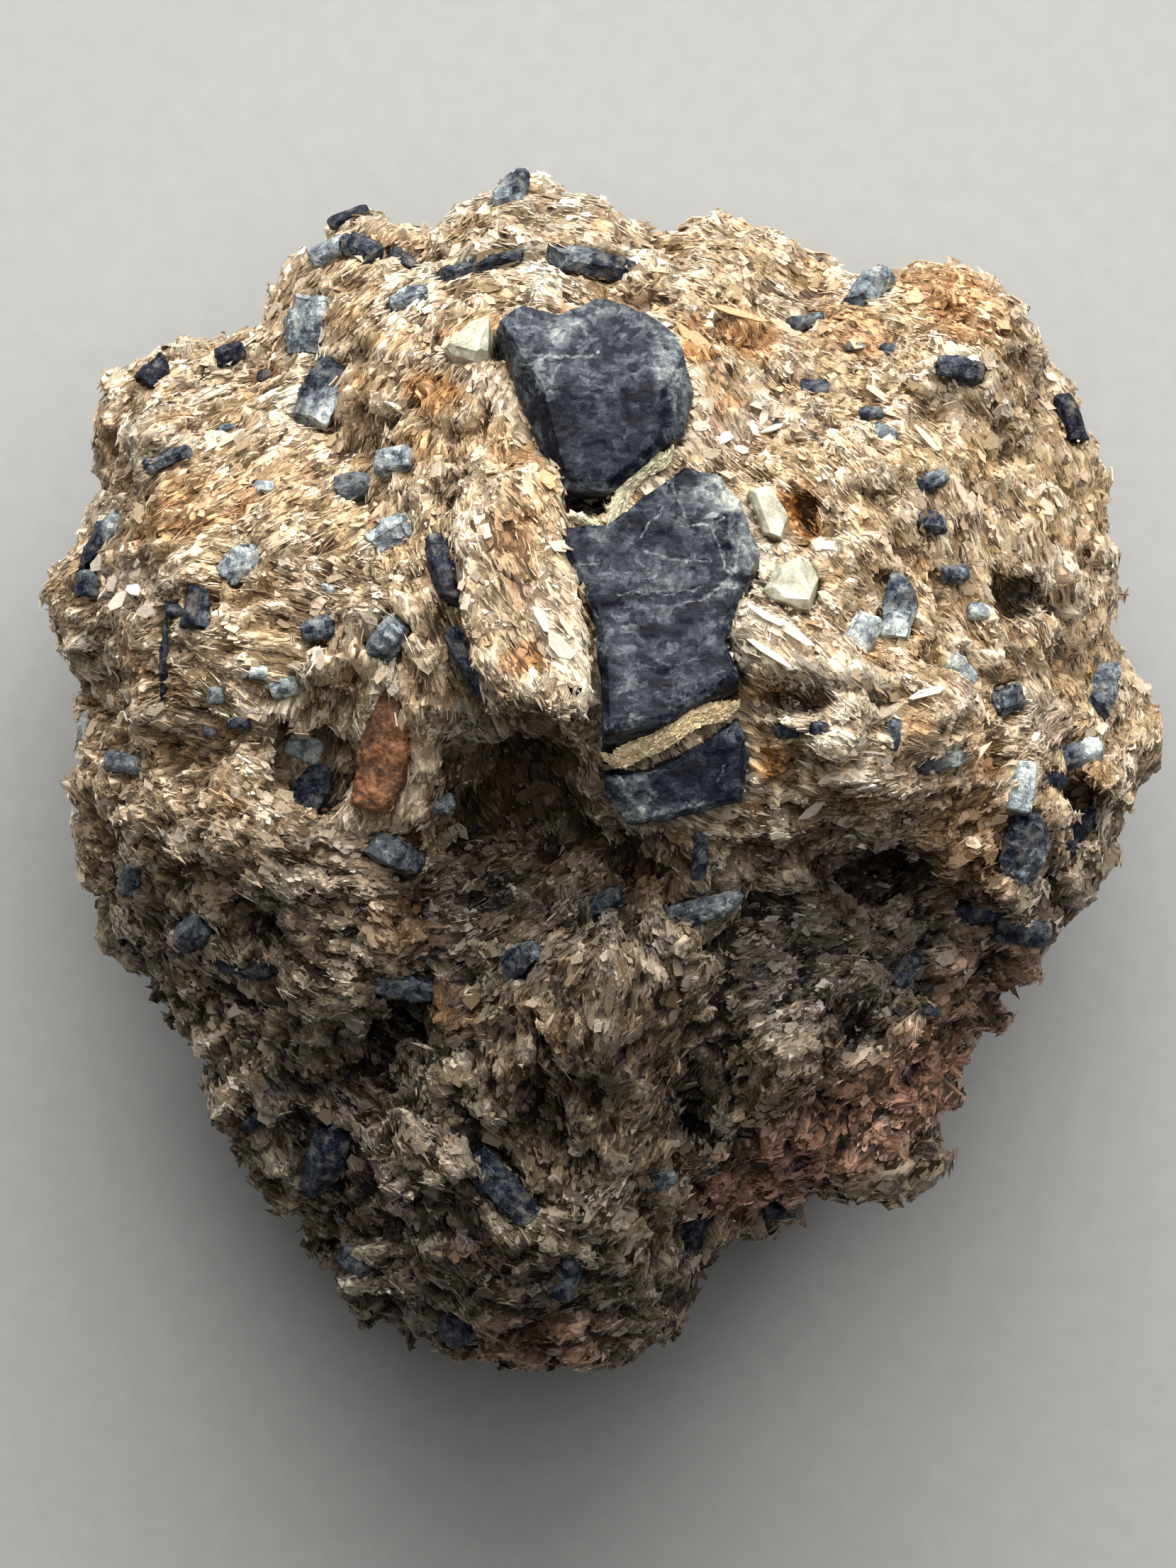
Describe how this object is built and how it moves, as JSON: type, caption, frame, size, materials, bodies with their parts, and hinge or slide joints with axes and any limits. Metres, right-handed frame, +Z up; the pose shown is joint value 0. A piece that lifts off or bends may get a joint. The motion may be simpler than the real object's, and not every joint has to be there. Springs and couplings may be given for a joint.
{
  "type": "sapphire specimen",
  "caption": "fist-sized lump of golden mica schist with blue-grey sapphire crystals grown through it, lying on its broken back, for display as a mineral hand specimen",
  "frame": {"origin": "on the resting face, under the middle of the whole specimen", "axes": "+Z up out of the sapphire face, +Y along the length towards the upper sapphire's end, +X to the right seen from above"},
  "size_m": [0.0892, 0.095, 0.0606],
  "materials": {
    "schist": "flaky golden-beige mica, glittering, with brown and rusty patches",
    "sapphire": "blue-grey to navy, mottled, glassy with white cracks and pale ends",
    "feldspar": "cream to pale green, slightly translucent",
    "brown_plate": "dull orange-brown, grainy"
  },
  "bodies": {
    "root": {"brown_plate": "brown_plate", "feldspar_left": "feldspar", "feldspar_right_lower": "feldspar", "feldspar_right_upper": "feldspar", "hollow_sapphire_1": "sapphire", "hollow_sapphire_2": "sapphire", "hollow_sapphire_3": "sapphire", "hollow_sapphire_4": "sapphire", "hollow_sapphire_5": "sapphire", "left_rim_sapphire_1": "sapphire", "left_rim_sapphire_2": "sapphire", "left_rim_sapphire_3": "sapphire", "left_slope_sapphire_1": "sapphire", "left_slope_sapphire_10": "sapphire", "left_slope_sapphire_2": "sapphire", "left_slope_sapphire_3": "sapphire", "left_slope_sapphire_4": "sapphire", "left_slope_sapphire_5": "sapphire", "left_slope_sapphire_6": "sapphire", "left_slope_sapphire_7": "sapphire", "left_slope_sapphire_8": "sapphire", "left_slope_sapphire_9": "sapphire", "lower_sapphire": "sapphire", "middle_sapphire": "sapphire", "right_rim_sapphire_1": "sapphire", "right_rim_sapphire_2": "sapphire", "right_rim_sapphire_3": "sapphire", "right_rim_sapphire_4": "sapphire", "right_slope_sapphire_1": "sapphire", "right_slope_sapphire_2": "sapphire", "right_slope_sapphire_3": "sapphire", "right_slope_sapphire_4": "sapphire", "right_slope_sapphire_5": "sapphire", "right_slope_sapphire_6": "sapphire", "schist_lump": "schist", "side_sapphire_1": "sapphire", "side_sapphire_2": "sapphire", "side_sapphire_3": "sapphire", "side_sapphire_4": "sapphire", "slab_edge_sapphire_1": "sapphire", "slab_edge_sapphire_2": "sapphire", "slab_edge_sapphire_3": "sapphire", "top_edge_sapphire_1": "sapphire", "top_edge_sapphire_2": "sapphire", "top_edge_sapphire_3": "sapphire", "top_edge_sapphire_4": "sapphire", "top_edge_sapphire_5": "sapphire", "top_edge_sapphire_6": "sapphire", "upper_sapphire": "sapphire", "valley_sapphire_1": "sapphire", "valley_sapphire_2": "sapphire", "valley_sapphire_3": "sapphire"}
  },
  "joints": []
}
